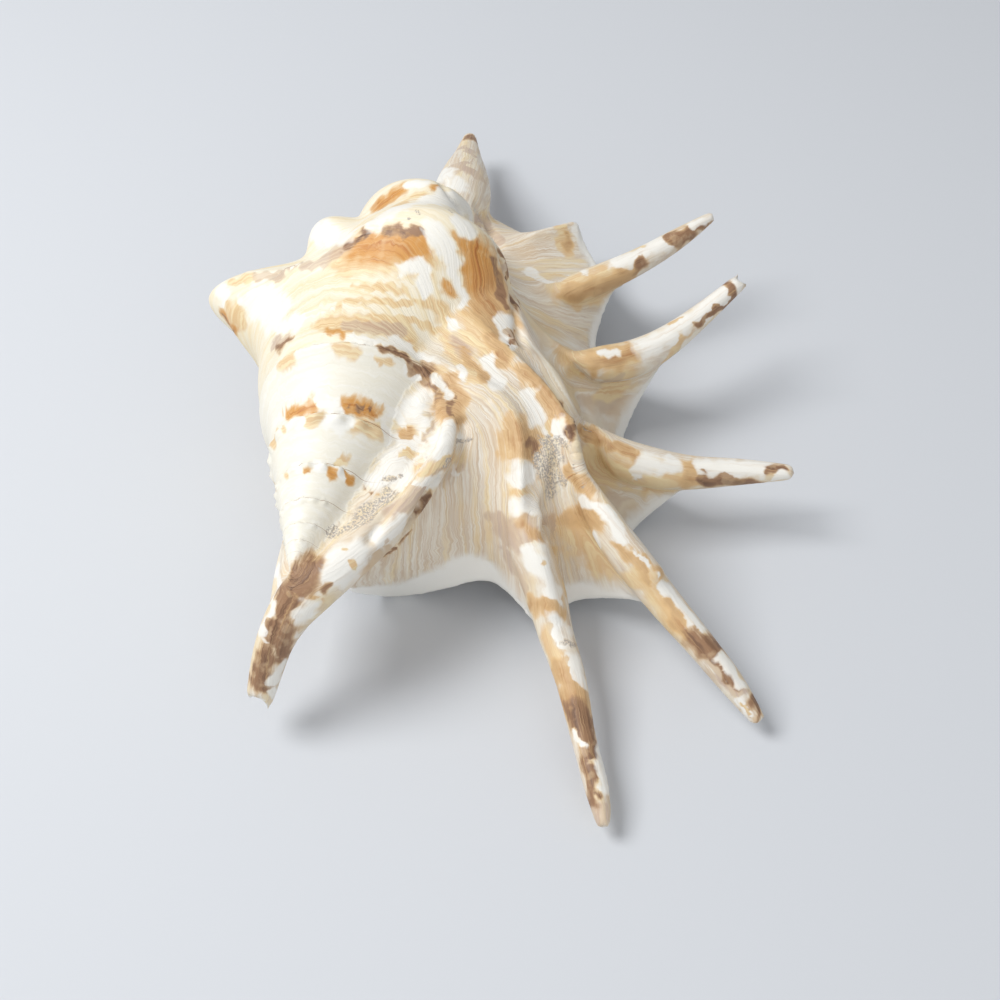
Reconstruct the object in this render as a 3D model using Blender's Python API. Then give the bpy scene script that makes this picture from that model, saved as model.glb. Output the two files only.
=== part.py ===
"""Spider conch shell, lying on its aperture with its back up.

The shell is one solid: the spire and last whorl coil about one axis, the last whorl flares
into a lip with hollow fingers, and the siphon canal ends it in front. Shapes are worked out
in millimetres in the shell's own frame and written in metres. +Z is up, +Y runs along the
coiling axis from the spire to the canal, and +X is the lip's side.
"""
import math

import bmesh
import bpy
import numpy as np

MM = 0.001

# Middle of the finished shell's box in the frame that its shapes are worked out in
MIDDLE = (-5.092, 30.885)

# The coiling axis: a line from the apex, dipping a little towards the canal
APEX = np.array((-29.7, -27.9, 30.0))
AXIS_DIP = math.radians(5)
AXIS = np.array((0, math.cos(AXIS_DIP), -math.sin(AXIS_DIP)))
ACROSS = np.array((1.0, 0, 0))
OUT_OF_BACK = np.array((0, math.sin(AXIS_DIP), math.cos(AXIS_DIP)))

# Coiling: each turn is GROWTH times the one before, and the last suture crosses the back here
GROWTH = 1.45
LAST_SUTURE = 36.5
CONE_SLOPE = math.tan(math.radians(24.0))
BACK = math.radians(90)
TURN_START = math.radians(330)

# Last whorl on the back: distance from the apex and radius. The widest place is the shoulder
BODY_PROFILE = (
    (36.5, 16.0), (41, 16.9), (47, 17.6), (54, 18.4), (59, 19.0), (62, 19.0), (65, 17.9), (70, 15.2),
    (75, 12.8), (81, 10.6), (87, 8.8), (92, 7.0), (97, 4.5),
)
BODY_END = 98.0

# Knobs on the last whorl: angle about the axis, distance from the apex, height, base radius
# and how round the top is
KNOBS = (
    (176, 63, 16.8, 8.0, 1.8),
    (53, 66, 11.5, 12.0, 2.5),
    (12, 58, 6.5, 11.0, 2.4),
    (124, 74, 5.0, 6.2, 2.4),
    (68, 80, 9.0, 7.6, 2.4),
    (248, 50, 5.5, 15.0, 2.6),
    (30, 82, 4.0, 9.0, 2.2),
)

WALL = 2.6


def radians(degrees):
    return degrees * math.pi / 180


def turned(psi):
    """Share of the last turn grown at this angle: 0 in the aperture, 1 at the outer lip."""
    return (TURN_START - psi) / (2 * math.pi)


def turn_scale(psi):
    """Size of the shell at this angle, with the back as 1."""
    return GROWTH ** (turned(psi) - turned(BACK))


def spire_profile(share):
    """Bulge of a whorl of the spire, from its apex-side suture at 0 to its next suture at 1."""
    marks = (0, 0.05, 0.14, 0.45, 0.68, 0.84, 0.94, 1)
    bulge = (-0.035, 0.0, 0.012, -0.008, 0.025, 0.055, 0.03, -0.035)
    return np.interp(share, marks, bulge)


def smooth_curve(x, marks, values):
    """Values at x of a smooth curve through the marks, with no overshoot."""
    marks = np.array(marks, float)
    values = np.array(values, float)
    slope = np.diff(values) / np.diff(marks)
    tangent = np.zeros(len(marks))
    same_way = slope[1:] * slope[:-1] > 0
    tangent[1:-1] = np.where(same_way, 2 * slope[1:] * slope[:-1] / np.where(same_way, slope[1:] + slope[:-1], 1), 0)
    tangent[0], tangent[-1] = slope[0], slope[-1]
    i = np.clip(np.searchsorted(marks, x) - 1, 0, len(marks) - 2)
    h = marks[i + 1] - marks[i]
    s = np.clip((x - marks[i]) / h, 0, 1)
    return (
        values[i] * (1 + 2 * s) * (1 - s) ** 2
        + tangent[i] * h * s * (1 - s) ** 2
        + values[i + 1] * s * s * (3 - 2 * s)
        + tangent[i + 1] * h * s * s * (s - 1)
    )


def on_axis(t, psi, r):
    """Points at distance t from the apex, angle psi about the axis and radius r from it."""
    t, psi, r = np.broadcast_arrays(t, psi, r)
    return (
        APEX
        + t[..., None] * AXIS
        + (r * np.cos(psi))[..., None] * ACROSS
        + (r * np.sin(psi))[..., None] * OUT_OF_BACK
    )


def outer_radius(t, psi):
    """Radius of the outside of the whorls at distance t and angle psi, from -30 to 330 degrees."""
    scale = turn_scale(psi)
    whorls = np.log(np.maximum(t, 0.3) / (LAST_SUTURE * scale)) / math.log(GROWTH)
    share = whorls - np.floor(whorls)
    spire = t * CONE_SLOPE * (1 + spire_profile(share))
    marks, radii = zip(*BODY_PROFILE)
    body = scale * smooth_curve(t / scale, marks, radii)
    for degrees, along, height, base, roundness in KNOBS:
        apart = (psi - radians(degrees)) * body
        reach = np.hypot(apart, t - along) / base
        body = body + height * np.exp(-(reach ** roundness))
    return np.where(whorls < 0, spire, body)


def inner_scale(psi):
    """The outer wall ends at the lip: below 30 degrees the radius falls back to the turn before."""
    fall = np.clip((radians(38) - psi) / radians(60), 0, 1)
    fall = fall * fall * (3 - 2 * fall)
    return 1 - fall * (1 - 1 / GROWTH)


def closed_tube(name, rings, first, last):
    """A closed mesh of rings of points, with a point at each end."""
    count, around = rings.shape[:2]
    points = [tuple(p) for p in rings.reshape(-1, 3)] + [tuple(first), tuple(last)]
    faces = []
    for i in range(count - 1):
        for j in range(around):
            k = (j + 1) % around
            faces.append((i * around + j, i * around + k, (i + 1) * around + k, (i + 1) * around + j))
    top = (count - 1) * around
    for j in range(around):
        k = (j + 1) % around
        faces.append((count * around, k, j))
        faces.append((count * around + 1, top + j, top + k))
    return new_object(name, points, faces)


def new_object(name, points, faces):
    mesh = bpy.data.meshes.new(name)
    mesh.from_pydata([tuple(MM * c for c in p) for p in points], [], faces)
    shape = bmesh.new()
    shape.from_mesh(mesh)
    bmesh.ops.remove_doubles(shape, verts=shape.verts, dist=1e-6)
    bmesh.ops.recalc_face_normals(shape, faces=shape.faces)
    shape.to_mesh(mesh)
    shape.free()
    made = bpy.data.objects.new(name, mesh)
    bpy.context.scene.collection.objects.link(made)
    return made


def make_whorls(along=150, around=120):
    t = np.linspace(0.9 ** 0.5, BODY_END ** 0.5, along)[:, None] ** 2
    psi = np.linspace(radians(-30), radians(330), around, endpoint=False)[None, :]
    body = t > LAST_SUTURE * turn_scale(psi) * 0.96
    r = outer_radius(t, psi)
    r = r * np.where(body, inner_scale(psi), 1)
    rings = on_axis(t, psi, r)
    return closed_tube("whorls", rings, APEX, on_axis(BODY_END, 0.0, 0.0))


# The lip is lofted through lines that run from the last whorl out to its edge. Each starts on
# the whorl at a distance from the apex and an angle, and then has three points.
LIP_VALLEYS = (
    ((13, 0), (-22, -19, 22), (-24, -19, 12), (-25, -16, 5)),
    ((18, 15), (-16, -12, 25), (-16, -13, 13), (-17, -10.5, -1)),
    ((26, 28), (-11, -3, 29), (-9, -9, 16), (-9, -10, 4)),
    ((36, 40), (-5, 4, 33), (-2, -5, 20), (-1, -9, 7)),
    ((48, 44), (3, 9, 35), (10, -3, 22), (15, -9, 4)),
    ((58, 38), (8, 16, 29), (17, 9, 14), (24.5, 8.5, -1)),
    ((66, 36), (5, 28, 26), (13, 27, 14), (21.5, 29.5, -1)),
    ((76, 40), (-2, 45, 23), (6, 47, 15), (13, 52, 6)),
    ((88, 50), (-9, 60, 20), (0, 66, 15), (10, 73, 9)),
    ((100, 60), (-14, 73, 17), (-9, 76, 13), (-5, 79, 9)),
    ((108, 80), (-19, 80, 17), (-16, 82, 13), (-14, 84, 8)),
)
# Lines along the fingers, and their places between the valleys
LIP_FINGERS = (
    (3.5, ((44, 48), (1, 8, 37), (5, -8, 27), (13, -27, 10))),
    (4.5, ((54, 42), (8, 12, 36), (16, -2, 28), (32, -14, 14))),
    (5.5, ((62, 36), (7, 20, 31), (17, 15, 22), (36, 15, 15))),
    (6.5, ((70, 36), (2, 36, 28), (13, 35, 22), (29, 44, 20))),
    (7.5, ((82, 45), (-5, 52, 24), (5, 55, 20), (23, 66, 19))),
    (8.5, ((94, 55), (-10, 66, 19), (-2, 73, 17), (5, 81, 14))),
)
# Fingers and canal: points of the spine and the radius there. A finger starts inside the lip
FINGERS = {
    "finger_e": (((3, -3, 27), 1.5), ((5.5, -10, 22.5), 3.6), ((8.5, -17, 16.5), 4.1), ((12.5, -26, 11.5), 3.5),
                 ((17.5, -36, 9), 3.0), ((21.8, -45, 6.5), 2.4), ((24, -51, 4), 1.4)),
    "finger_d": (((14, 1, 27), 1.2), ((18, -4, 23.5), 3.0), ((23.5, -8, 19.5), 3.8), ((31, -13.5, 14), 3.4),
                 ((38, -20, 11), 2.8), ((43, -24, 7.5), 2.3), ((48, -28.3, 4), 1.4)),
    "finger_c": (((13, 17, 22), 1.5), ((19, 14.5, 18.5), 3.6), ((25, 14, 16.5), 4.0), ((33, 15, 15), 3.2),
                 ((42, 16, 14.5), 2.5), ((50.5, 16, 15), 1.5)),
    "finger_b": (((8, 33, 22), 1.5), ((14, 35, 20), 3.6), ((20, 38, 19), 4.0), ((26, 42, 20), 3.5),
                 ((32, 47.5, 22), 2.8), ((38.5, 53.5, 25), 1.9)),
    "finger_a": (((2, 53, 18), 1.5), ((8, 56, 17.5), 3.2), ((13, 59.5, 18), 3.6), ((20, 64, 19), 3.1),
                 ((27, 70, 21), 2.4), ((33, 76, 23), 1.3)),
    "finger_f": (((-10, 12, 34), 1.5), ((-12, 4, 33), 2.6), ((-14, -5, 30.5), 3.4), ((-18, -14, 28), 4.2),
                 ((-23.5, -22, 25), 4.5), ((-28.8, -28.5, 21.5), 4.1), ((-32.4, -34, 17.5), 3.4),
                 ((-34.2, -38, 13.5), 2.8), ((-34.6, -41, 10.5), 2.4)),
    "canal": (((-25, 60, 18), 7.0), ((-21, 72, 17.5), 6.6), ((-19, 83, 16), 5.8), ((-19.5, 93, 13.2), 4.4),
              ((-21, 103, 10.5), 2.9), ((-23, 113, 8.5), 1.5)),
    "inner_lip": (((-27, 8, 10), 6.5), ((-29, 20, 8.5), 8.5), ((-29, 33, 8), 8.8), ((-28, 46, 9.2), 9.6),
                  ((-25.5, 58, 12), 8.6), ((-22.5, 70, 14), 6.8), ((-20, 80, 15.5), 5.0)),
}

# Mouth: how far along the axis it reaches, and the angles between its rim and its closed end
MOUTH_FROM = 30.0
MOUTH_TO = 92.0
MOUTH_RIM = math.radians(-38)
MOUTH_END = math.radians(125)
CAVITY_SHARE = 0.60
CANAL_GROOVE = (((-14, 66, 9), 4.0), ((-14, 76, 8), 4.2), ((-16.5, 86, 8), 3.6), ((-19, 96, 6.5), 2.9),
                ((-21.5, 105, 5.5), 2.2), ((-25, 118, 5), 1.6))
# Grain of the fused skin before and after the mouth is cut, and the size of the finished mesh
VOXEL = 0.9
FINE_VOXEL = 0.7
TRIANGLES = 9400


def spline(points, samples):
    """Catmull-Rom curve through the points; extra columns such as a radius go along."""
    points = np.array(points, float)
    before, after = 2 * points[0] - points[1], 2 * points[-1] - points[-2]
    ends = np.concatenate((before[None], points, after[None]))
    place = np.linspace(0, len(points) - 1, samples)
    i = np.minimum(place.astype(int), len(points) - 2)
    s = (place - i)[(...,) + (None,) * (points.ndim - 1)]
    a, b, c, d = (ends[i + k] for k in range(4))
    return 0.5 * (2 * b + (c - a) * s + (2 * a - 5 * b + 4 * c - d) * s ** 2 + (3 * b - a - 3 * c + d) * s ** 3)


def line_points(line):
    (t, degrees), *rest = line
    psi = radians(degrees)
    start = on_axis(float(t), psi, outer_radius(np.array(float(t)), np.array(psi)) - WALL / 2)
    return np.vstack((start, rest))


def make_lip(across=24, along=160):
    valleys = np.array([spline(line_points(line), across) for line in LIP_VALLEYS])
    rows = spline(valleys, along)
    place = np.linspace(0, len(LIP_VALLEYS) - 1, along)
    for middle, line in LIP_FINGERS:
        finger = spline(line_points(line), across)
        base = spline(valleys, 2 * 10 * (len(LIP_VALLEYS) - 1) + 1)[int(round(middle * 20))]
        near = np.clip(1 - np.abs(place - middle) / 0.5, 0, 1) ** 2.2
        rows = rows + near[:, None, None] * (finger - base)
    count = rows.shape[0]
    points = rows.reshape(-1, 3)
    faces = [
        (i * across + j, i * across + j + 1, (i + 1) * across + j + 1, (i + 1) * across + j)
        for i in range(count - 1)
        for j in range(across - 1)
    ]
    lip = new_object("lip", points, faces)
    solid = lip.modifiers.new("thickness", "SOLIDIFY")
    solid.thickness = 3.0 * MM
    solid.offset = -1 if lip.data.polygons[len(faces) // 2].normal.z > 0 else 1
    return lip


def make_finger(name, stations, samples=40, around=14):
    spine = spline([(*point, radius) for point, radius in stations], samples)
    centre, radius = spine[:, :3], spine[:, 3]
    tangent = np.gradient(centre, axis=0)
    tangent /= np.linalg.norm(tangent, axis=1)[:, None]
    side = np.cross(tangent, (0, 0, 1.0))
    side /= np.linalg.norm(side, axis=1)[:, None]
    up = np.cross(side, tangent)
    angle = np.linspace(0, 2 * math.pi, around, endpoint=False)
    ring = np.cos(angle)[None, :, None] * side[:, None] + np.sin(angle)[None, :, None] * up[:, None]
    rings = centre[:, None] + radius[:, None, None] * ring
    return closed_tube(name, rings, centre[0], centre[-1] + tangent[-1] * radius[-1] * 0.3)


def make_cavity(along=80, around=44):
    """The hollow of the last whorl: a band that coils up behind the mouth and closes there."""
    t = np.linspace(MOUTH_FROM, MOUTH_TO, along)[:, None]
    psi = np.linspace(MOUTH_RIM, MOUTH_END, around)[None, :]
    marks, radii = zip(*BODY_PROFILE)
    scale = turn_scale(psi)
    whorl = scale * smooth_curve(t / scale, marks, radii)
    ends = np.clip(np.minimum(t - MOUTH_FROM, MOUTH_TO - t) / 14, 0, 1)
    ends = np.sqrt(ends * (2 - ends))
    depth = np.clip((MOUTH_END - psi) / radians(60), 0, 1)
    depth = np.sqrt(depth * (2 - depth))
    outside = np.clip((radians(20) - psi) / radians(25), 0, 1)
    outer = whorl - WALL + outside * (WALL + 3)
    inner = whorl * (1 - (1 - CAVITY_SHARE) * depth)
    middle = (outer + inner) / 2
    half = np.maximum((outer - inner) / 2, 0.2) * ends
    psi = np.broadcast_to(psi, whorl.shape)
    t = np.broadcast_to(t, whorl.shape)
    out_side = on_axis(t, psi, middle + half)
    in_side = on_axis(t, psi, middle - half)
    rings = np.concatenate((out_side, in_side[:, ::-1]), axis=1)
    return closed_tube("cavity", rings, rings[0].mean(axis=0), rings[-1].mean(axis=0))


def joined(name, pieces):
    """One object with the meshes of the pieces, as their modifiers leave them."""
    seen = bpy.context.evaluated_depsgraph_get()
    shape = bmesh.new()
    for piece in pieces:
        shape.from_mesh(bpy.data.meshes.new_from_object(piece.evaluated_get(seen)))
    mesh = bpy.data.meshes.new(name)
    shape.to_mesh(mesh)
    shape.free()
    for piece in pieces:
        bpy.data.objects.remove(piece)
    made = bpy.data.objects.new(name, mesh)
    bpy.context.scene.collection.objects.link(made)
    return made


def melt_together(piece, voxel, rounds):
    """Fuse everything in the object into one skin, and soften the joins."""
    melt = piece.modifiers.new("melt", "REMESH")
    melt.mode = "VOXEL"
    melt.voxel_size = voxel * MM
    melt.adaptivity = 0
    soften = piece.modifiers.new("soften", "SMOOTH")
    soften.factor = 0.5
    soften.iterations = rounds


def cut_away(piece, cutter):
    cut = piece.modifiers.new("mouth", "BOOLEAN")
    cut.operation = "DIFFERENCE"
    cut.object = cutter


def reduce_faces(piece, triangles):
    reduce = piece.modifiers.new("reduce", "DECIMATE")
    reduce.use_collapse_triangulate = True
    reduce.ratio = triangles / (2 * len(piece.data.polygons))


def keep_largest_body(shape):
    """Delete specks that the remeshing leaves beside the shell."""
    left = set(shape.verts)
    bodies = []
    while left:
        body = [left.pop()]
        for point in body:
            near = [edge.other_vert(point) for edge in point.link_edges]
            fresh = left.intersection(near)
            left -= fresh
            body.extend(fresh)
        bodies.append(body)
    bodies.sort(key=len)
    specks = [point for body in bodies[:-1] for point in body]
    bmesh.ops.delete(shape, geom=specks, context="VERTS")


def cut_base(shape):
    """Cut the underside flat where it stands on the ground, so that the shell rests."""
    everything = shape.verts[:] + shape.edges[:] + shape.faces[:]
    bmesh.ops.bisect_plane(
        shape, geom=everything, dist=1e-7, plane_co=(0, 0, 0), plane_no=(0, 0, -1), clear_outer=True
    )
    rims = [edge for edge in shape.edges if edge.is_boundary]
    bmesh.ops.holes_fill(shape, edges=rims, sides=0)
    bmesh.ops.triangulate(shape, faces=shape.faces)


def centre_over_origin(shape):
    bmesh.ops.translate(shape, verts=shape.verts, vec=(-MM * MIDDLE[0], -MM * MIDDLE[1], 0))


def shell_material():
    """Glossy cream shell with a warm tan tone."""
    made = bpy.data.materials.new("shell")
    made.use_nodes = True
    surface = made.node_tree.nodes["Principled BSDF"]
    surface.inputs["Base Color"].default_value = (0.72, 0.58, 0.42, 1)
    surface.inputs["Roughness"].default_value = 0.38
    surface.inputs["Metallic"].default_value = 0
    return made


for old in list(bpy.data.objects):
    bpy.data.objects.remove(old)

solids = [make_whorls(), make_lip()]
solids += [make_finger(name, stations) for name, stations in FINGERS.items()]
body = joined("body", solids)
hollow = joined("hollow", [make_cavity(), make_finger("groove", CANAL_GROOVE)])
melt_together(hollow, VOXEL, 1)
melt_together(body, VOXEL, 4)
cut_away(body, hollow)
melt_together(body, FINE_VOXEL, 2)
bpy.context.view_layer.update()
shell = joined("shell", [body])
bpy.data.objects.remove(hollow)
reduce_faces(shell, TRIANGLES)
shell = joined("shell", [shell])

shape = bmesh.new()
shape.from_mesh(shell.data)
keep_largest_body(shape)
cut_base(shape)
centre_over_origin(shape)
shape.to_mesh(shell.data)
shape.free()
shell.data.shade_smooth()
shell.data.materials.append(shell_material())
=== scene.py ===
"""Spider conch shell, lying on its mouth side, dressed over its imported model."""
import math

import bmesh
import bpy
import numpy as np
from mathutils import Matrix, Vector
from mathutils.bvhtree import BVHTree
from mathutils.kdtree import KDTree


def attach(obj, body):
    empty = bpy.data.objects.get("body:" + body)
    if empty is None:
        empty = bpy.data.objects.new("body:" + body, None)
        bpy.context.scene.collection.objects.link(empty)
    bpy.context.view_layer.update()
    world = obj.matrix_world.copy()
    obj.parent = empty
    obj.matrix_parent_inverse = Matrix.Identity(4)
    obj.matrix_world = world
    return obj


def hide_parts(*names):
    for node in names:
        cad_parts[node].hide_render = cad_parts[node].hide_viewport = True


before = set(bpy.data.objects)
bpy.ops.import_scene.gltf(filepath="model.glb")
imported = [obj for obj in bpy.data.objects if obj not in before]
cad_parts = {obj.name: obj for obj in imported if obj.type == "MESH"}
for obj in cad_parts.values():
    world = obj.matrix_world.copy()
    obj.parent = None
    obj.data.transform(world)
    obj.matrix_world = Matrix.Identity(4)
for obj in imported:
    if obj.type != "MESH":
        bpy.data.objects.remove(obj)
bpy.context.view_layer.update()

# The camera.
# It looks down on the shell's back from the side of the spire, close enough for the near
# fingers to look larger than the far ones.
MM = 0.001
MIDDLE = np.array((-5.092, 30.885, 0.0))
LOOK_AT = np.array((0.0, 0.0, 20.0))
CAMERA_AWAY = 240.0
CAMERA_TURN = math.radians(8)
CAMERA_TILT = math.radians(52)
HALF_VIEW = math.radians(20)
PHOTO_WIDTH = 1000

toward_camera = np.array((
    math.sin(CAMERA_TURN) * math.cos(CAMERA_TILT),
    -math.cos(CAMERA_TURN) * math.cos(CAMERA_TILT),
    math.sin(CAMERA_TILT),
))
eye = LOOK_AT + CAMERA_AWAY * toward_camera
bpy.ops.object.camera_add(location=MM * (eye - MIDDLE))
camera = bpy.context.object
camera.rotation_euler = Vector(-toward_camera).to_track_quat("-Z", "Y").to_euler()
camera.data.sensor_width = 36
camera.data.lens = 18 / math.tan(HALF_VIEW)
camera.data.clip_start = 0.01
bpy.context.scene.camera = camera


def sight_line(across, down):
    """Direction from the camera through a point of the photo, 1000 wide and high."""
    forward = -toward_camera
    right = np.cross(forward, (0, 0, 1.0))
    right /= np.linalg.norm(right)
    up = np.cross(right, forward)
    half = PHOTO_WIDTH / 2
    reach = math.tan(HALF_VIEW) / half
    return forward + (across - half) * reach * right - (down - half) * reach * up


# The whorls.
# The spire and the last turn coil to the right about one axis, each turn GROWTH times the one
# before. Radii are measured from that axis, in millimetres, and knobs stand on the last turn.
APEX = np.array((-29.7, -27.9, 30.0))
AXIS_DIP = math.radians(5)
AXIS = np.array((0, math.cos(AXIS_DIP), -math.sin(AXIS_DIP)))
ACROSS = np.array((1.0, 0, 0))
OUT_OF_BACK = np.array((0, math.sin(AXIS_DIP), math.cos(AXIS_DIP)))
GROWTH = 1.45
LAST_SUTURE = 37.8
CONE_SLOPE = math.tan(math.radians(24.0))
BACK = math.radians(90)
# Degrees about the axis: where a turn's strip begins, where the lip leaves the wall, and where
# the cords begin to bend back and over how far
STRIP_START = -30
LIP_LEAVES = 38
BEND_FROM = 100
BEND_OVER = 55
CORD_SHIFT = 22
# Millimetres of growth that one radian stands for
RADIAN_RUN = 20
BODY_PROFILE = (
    (37, 16.6), (41, 16.9), (47, 17.6), (54, 18.4), (59, 19.0), (62, 18.6), (65, 16.8), (70, 13.3),
    (75, 10.2), (81, 8.2), (87, 7.6), (92, 6.6), (97, 4.5),
)
BODY_END = 98.0
# Angle about the axis, distance from the apex, height, base radius and roundness of each knob
KNOBS = (
    (176, 63.0, 18.1, 6.7, 1.6),
    (53, 66, 11.5, 12.0, 2.5),
    (12, 58, 6.5, 11.0, 2.4),
    (130, 74, 6.6, 5.4, 2.2),
    (66, 80, 11.6, 7.2, 2.4),
    (248, 50, 5.5, 15.0, 2.6),
    (30, 82, 4.0, 9.0, 2.2),
)
# Place, height and width of the keel on the last turn
KEEL = (61.5, 0.9, 1.5)
BEADS_PER_TURN = 19
BEAD_HEIGHT = 0.045
LEFT_FLATNESS = 0.15
WALL = 2.6


def radians(degrees):
    return degrees * math.pi / 180


def turn_scale(psi):
    """Size of the shell at this angle, with the back as 1."""
    return GROWTH ** ((BACK - psi) / (2 * math.pi))


def smooth_step(x, low, high):
    share = np.clip((x - low) / (high - low), 0, 1)
    return share * share * (3 - 2 * share)


def smooth_curve(x, marks, values):
    """Values at x of a smooth curve through the marks, with no overshoot."""
    marks = np.array(marks, float)
    values = np.array(values, float)
    slope = np.diff(values) / np.diff(marks)
    tangent = np.zeros(len(marks))
    same_way = slope[1:] * slope[:-1] > 0
    total = np.where(same_way, slope[1:] + slope[:-1], 1)
    tangent[1:-1] = np.where(same_way, 2 * slope[1:] * slope[:-1] / total, 0)
    tangent[0], tangent[-1] = slope[0], slope[-1]
    i = np.clip(np.searchsorted(marks, x) - 1, 0, len(marks) - 2)
    h = marks[i + 1] - marks[i]
    s = np.clip((x - marks[i]) / h, 0, 1)
    return (
        values[i] * (1 + 2 * s) * (1 - s) ** 2
        + tangent[i] * h * s * (1 - s) ** 2
        + values[i + 1] * s * s * (3 - 2 * s)
        + tangent[i + 1] * h * s * s * (s - 1)
    )


def whorl_number(t, psi):
    """Whorls counted from the last suture: negative on the spire, 0 to 1 on the last turn."""
    return np.log(np.maximum(t, 0.3) / (LAST_SUTURE * turn_scale(psi))) / math.log(GROWTH)


def spire_bulge(t, psi):
    """Relief of the spire: a step at each suture, a keel beside it, beads on the early keels."""
    whorls = whorl_number(t, psi)
    share = whorls - np.floor(whorls)
    marks = (0, 0.03, 0.10, 0.45, 0.72, 0.84, 0.91, 0.965, 1)
    steps = (-0.045, -0.02, 0.0, -0.010, 0.002, 0.045, 0.075, 0.06, -0.045)
    bulge = np.interp(share, marks, steps)
    beaded = np.exp(-((share - 0.9) / 0.09) ** 4) * smooth_step(-whorls, 1.02, 1.12)
    beads = np.cos(psi * BEADS_PER_TURN) * 0.5 + 0.5
    return bulge + BEAD_HEIGHT * beaded * (beads - 0.5) * 1.6


def outer_radius(t, psi):
    """Radius of the outside of the whorls at distance t and angle psi, from -30 to 330 degrees."""
    scale = turn_scale(psi)
    flat_side = LEFT_FLATNESS * np.exp(-(((psi - math.pi) / 0.9) ** 2))
    spire = t * CONE_SLOPE * (1 + spire_bulge(t, psi)) * (1 - flat_side)
    marks, radii = zip(*BODY_PROFILE)
    body = scale * smooth_curve(t / scale, marks, radii)
    body = body * (1 - flat_side * smooth_step(-t / scale, -50, -38))
    for degrees, along, height, base, roundness in KNOBS:
        apart = (psi - radians(degrees)) * body
        reach = np.hypot(apart, t - along) / base
        body = body + height * np.exp(-(reach ** roundness))
    place, height, width = KEEL
    body = body + height * np.exp(-(((t / scale - place) / width) ** 2)) * smooth_step(psi, 1.2, 1.7)
    return np.where(whorl_number(t, psi) < 0, spire, body)


def inner_scale(psi):
    """The outer wall ends at the lip: below 38 degrees the radius falls back a turn."""
    fall = smooth_step(radians(LIP_LEAVES) - psi, 0, radians(60))
    return 1 - fall * (1 - 1 / GROWTH)


def on_axis(t, psi, r):
    """Points at distance t from the apex, angle psi about the axis and radius r from it."""
    t, psi, r = np.broadcast_arrays(t, psi, r)
    return (
        APEX
        + t[..., None] * AXIS
        + (r * np.cos(psi))[..., None] * ACROSS
        + (r * np.sin(psi))[..., None] * OUT_OF_BACK
    )


def cord_place(t, psi):
    """Which spiral cord runs here: on the lip's side the cords bend back, towards the apex."""
    bend = np.clip((radians(BEND_FROM) - psi) / radians(BEND_OVER), 0, 2)
    past = np.maximum(bend - 1, 0)
    hind = smooth_step(78 - t, 0, 22) * smooth_step(t / turn_scale(psi), 36, 45)
    return t / turn_scale(psi) + CORD_SHIFT * hind * (0.5 * np.minimum(bend, 1) ** 2 + past)


def unit(vectors):
    return vectors / np.maximum(np.linalg.norm(vectors, axis=-1, keepdims=True), 1e-9)


def mesh_object(name, points, faces):
    """An object of the points, given in millimetres, with its faces turned outwards."""
    mesh = bpy.data.meshes.new(name)
    mesh.from_pydata((MM * (np.asarray(points) - MIDDLE)).tolist(), [], faces)
    shape = bmesh.new()
    shape.from_mesh(mesh)
    bmesh.ops.remove_doubles(shape, verts=shape.verts, dist=1e-6)
    bmesh.ops.recalc_face_normals(shape, faces=shape.faces)
    shape.to_mesh(mesh)
    shape.free()
    made = bpy.data.objects.new(name, mesh)
    bpy.context.scene.collection.objects.link(made)
    return made


def closed_tube(name, rings, first, last):
    """A closed mesh of rings of points, with a point at each end."""
    count, around = rings.shape[:2]
    points = np.concatenate((rings.reshape(-1, 3), [first, last]))
    faces = []
    for i in range(count - 1):
        for j in range(around):
            k = (j + 1) % around
            faces.append((i * around + j, i * around + k, (i + 1) * around + k, (i + 1) * around + j))
    top = (count - 1) * around
    for j in range(around):
        k = (j + 1) % around
        faces.append((count * around, k, j))
        faces.append((count * around + 1, top + j, top + k))
    return mesh_object(name, points, faces)


# Each surface leaves samples behind: place, way of growth, outward normal, and then
# distance along the growth, place across it, lip, finger, margin and callus
samples = []


def leave_samples(points, along_way, outward, columns):
    shape = points.shape[:-1]
    values = np.stack([np.broadcast_to(column, shape) for column in columns], axis=-1)
    samples.append(np.concatenate((points, unit(along_way), unit(outward), values), axis=-1).reshape(-1, 15))


t = np.linspace(0.9 ** 0.5, BODY_END ** 0.5, 300)[:, None] ** 2
psi = np.linspace(radians(STRIP_START), radians(STRIP_START + 360), 360, endpoint=False)[None, :]
radius = outer_radius(t, psi) * np.where(whorl_number(t, psi) > -0.1, inner_scale(psi), 1)
rings = on_axis(t, psi, radius)
whorls = closed_tube("whorls", rings, APEX, on_axis(BODY_END, 0.0, 0.0))
growth_way = -np.gradient(rings, axis=1)
outward = np.cross(growth_way, np.gradient(rings, axis=0))
outward *= np.sign((outward * (rings - on_axis(t, psi, radius * 0))).sum(axis=-1, keepdims=True))
bend = smooth_step(radians(BEND_FROM) - psi, 0, radians(BEND_OVER))[..., None]
bent_way = unit(growth_way) - 0.9 * bend * AXIS
none = np.zeros_like(radius)
columns = [none - psi * RADIAN_RUN, cord_place(t, psi), none, none, none, none]
some = (slice(None, None, 2), slice(None, None, 3))
leave_samples(rings[some], bent_way[some], outward[some], [column[some] for column in columns])

# The lip.
# It is the last turn's edge, flared to the right in a sheet about 3 mm thick. The sheet is
# lofted through lines that run from the last turn to its edge, low between the fingers and
# lifted into a fold along each finger.
LIP_THICKNESS = 3.0
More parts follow.
